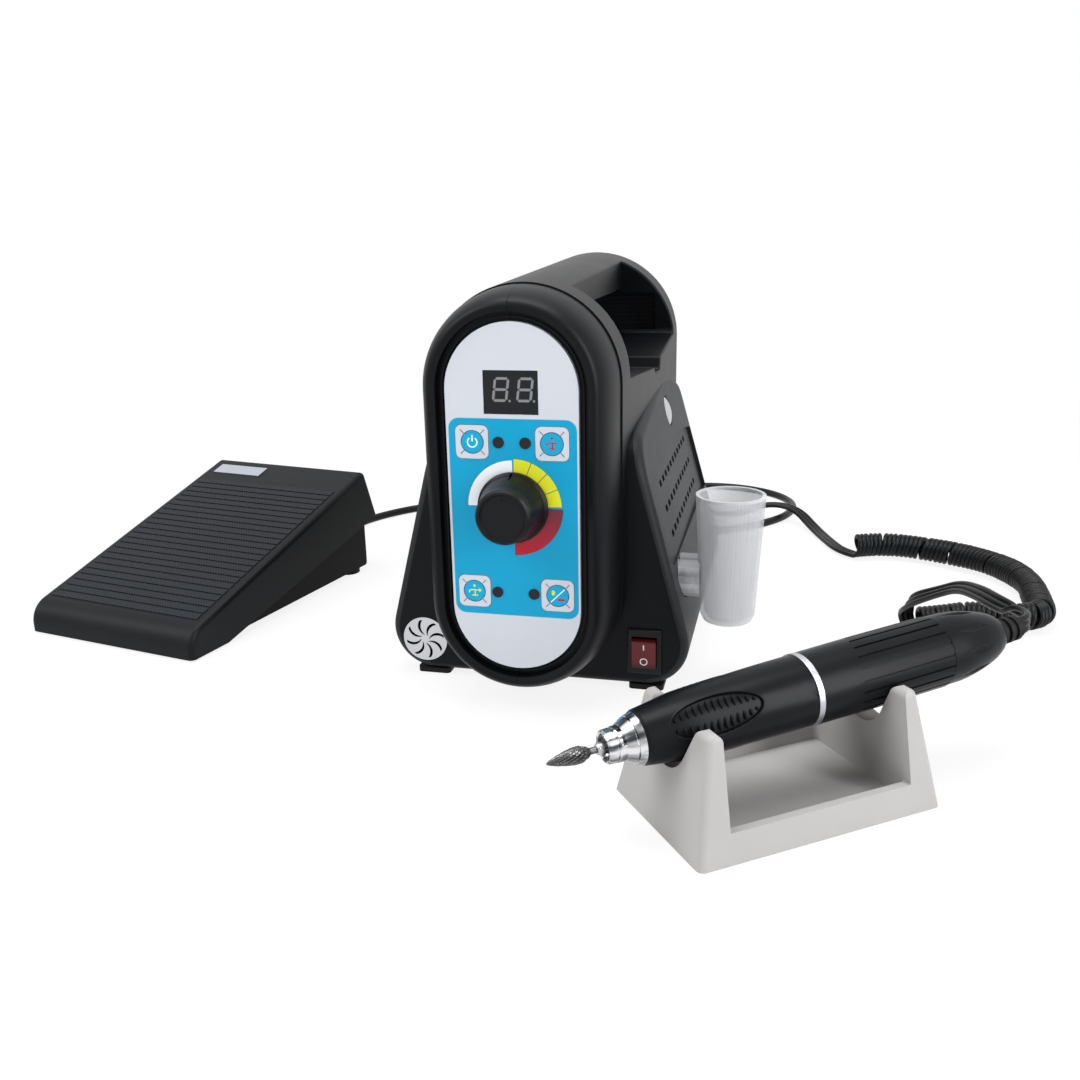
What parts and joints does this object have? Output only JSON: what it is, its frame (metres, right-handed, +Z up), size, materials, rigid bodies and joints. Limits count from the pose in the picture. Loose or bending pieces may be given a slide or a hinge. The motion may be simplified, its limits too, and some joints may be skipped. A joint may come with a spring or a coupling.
{
  "type": "dental micromotor",
  "caption": "Table-top micromotor set: control unit with carrying handle, motor handpiece on a stand, foot pedal and cords.",
  "frame": {"origin": "centre of the bounding box of the set without its cords, on the table", "axes": "+X to the right as one faces the control panel, +Y to the back, +Z up"},
  "size_m": [0.5319, 0.5208, 0.1898],
  "materials": {
    "housing_plastic": "satin",
    "cover_plastic": "grained",
    "panel_print": "satin",
    "dark_plastic": "glossy",
    "key_film": "satin",
    "lamp_plastic": "glossy",
    "red_plastic": "glossy",
    "bright_metal": "polished",
    "steel": "brushed",
    "board": "satin",
    "cup_plastic": "frosted",
    "rubber_black": "matte",
    "stand_plastic": "satin",
    "handpiece_black": "satin",
    "plate": "satin"
  },
  "bodies": {
    "base_set": {"housing_left": "housing_plastic", "housing_right": "housing_plastic", "side_cover_left": "cover_plastic", "side_cover_right": "cover_plastic", "cover_caps": "bright_metal", "cover_screws": "steel", "fascia_panel": "panel_print", "display_window": "dark_plastic", "display_digits": "dark_plastic", "indicator_lamps": "lamp_plastic", "key_switches": "dark_plastic", "panel_board": "board", "board_spacers": "steel", "speed_potentiometer": "dark_plastic", "rocker_frame": "dark_plastic", "vent_disc": "bright_metal", "mains_inlet": "dark_plastic", "motor_socket": "dark_plastic", "pedal_socket": "dark_plastic", "transformer": "steel", "supply_board": "board", "unit_feet": "rubber_black", "handpiece_stand": "stand_plastic", "pedal_base": "housing_plastic", "pedal_pin": "steel", "pedal_spring": "steel", "pedal_sensor": "dark_plastic", "pedal_feet": "rubber_black", "pedal_gland": "rubber_black", "handpiece_plug": "rubber_black", "pedal_plug": "rubber_black", "pedal_cord": "rubber_black", "handpiece_cord_lead": "rubber_black", "handpiece_cord_curls": "rubber_black", "handpiece_cord_tail": "rubber_black"},
    "knob": {"speed_knob": "dark_plastic", "knob_shaft": "steel"},
    "rocker": {"power_rocker": "red_plastic"},
    "power_button": {"power_key": "key_film"},
    "standby_button": {"standby_key": "key_film"},
    "direction_button": {"direction_key": "key_film"},
    "hand_foot_button": {"hand_foot_key": "key_film"},
    "cup": {"bur_cup": "cup_plastic"},
    "pedal": {"pedal_cover": "housing_plastic", "tread_mat": "rubber_black", "pedal_plate": "plate"},
    "handpiece": {"motor_sleeve": "handpiece_black", "trim_ring": "bright_metal", "end_cap": "handpiece_black", "cord_boot": "rubber_black", "stator": "steel", "bearings": "steel"},
    "chuck_grip": {"front_sleeve": "handpiece_black", "nose_cone": "bright_metal"},
    "spindle": {"spindle": "steel", "rotor": "steel"},
    "bur": {"bur": "steel"}
  },
  "joints": [
    {"name": "speed_knob_turn", "type": "hinge", "parent": "base_set", "child": "knob", "pos_m": [0.03845, -0.02014, 0.0935], "axis": [0, 1, 0], "range_deg": [0, 270]},
    {"name": "power_rocker_tip", "type": "hinge", "parent": "base_set", "child": "rocker", "pos_m": [0.08925, -0.01654, 0.0198], "axis": [1, 0, 0], "range_deg": [-10, 0]},
    {"name": "power_key_press", "type": "slide", "parent": "base_set", "child": "power_button", "axis": [0, 1, 0], "range_m": [0, 0.0005], "stiffness_N_per_m": 2000, "springref_m": -0.0003},
    {"name": "standby_key_press", "type": "slide", "parent": "base_set", "child": "standby_button", "axis": [0, 1, 0], "range_m": [0, 0.0005], "stiffness_N_per_m": 2000, "springref_m": -0.0003},
    {"name": "direction_key_press", "type": "slide", "parent": "base_set", "child": "direction_button", "axis": [0, 1, 0], "range_m": [0, 0.0005], "stiffness_N_per_m": 2000, "springref_m": -0.0003},
    {"name": "hand_foot_key_press", "type": "slide", "parent": "base_set", "child": "hand_foot_button", "axis": [0, 1, 0], "range_m": [0, 0.0005], "stiffness_N_per_m": 2000, "springref_m": -0.0003},
    {"name": "cup_pull", "type": "slide", "parent": "base_set", "child": "cup", "axis": [1, 0, 0], "range_m": [0, 0.018]},
    {"name": "pedal_press", "type": "hinge", "parent": "base_set", "child": "pedal", "pos_m": [-0.18471, 0.00062, 0.007], "axis": [0.9813, -0.1924, 0], "range_deg": [-7, 0], "stiffness_Nm_per_rad": 3, "springref_deg": 6.88, "deforming": ["pedal_spring"]},
    {"name": "handpiece_lift", "type": "slide", "parent": "base_set", "child": "handpiece", "axis": [0, 0, 1], "range_m": [0, 0.05]},
    {"name": "chuck_twist", "type": "hinge", "parent": "handpiece", "child": "chuck_grip", "pos_m": [0.09284, -0.14392, 0.03608], "axis": [0.802, 0.5936, 0.0663], "range_deg": [0, 30]},
    {"name": "spindle_spin", "type": "hinge", "parent": "handpiece", "child": "spindle", "pos_m": [0.09284, -0.14392, 0.03608], "axis": [0.802, 0.5936, 0.0663], "continuous": true},
    {"name": "bur_draw", "type": "slide", "parent": "spindle", "child": "bur", "axis": [-0.802, -0.5936, -0.0663], "range_m": [0, 0.03]}
  ]
}
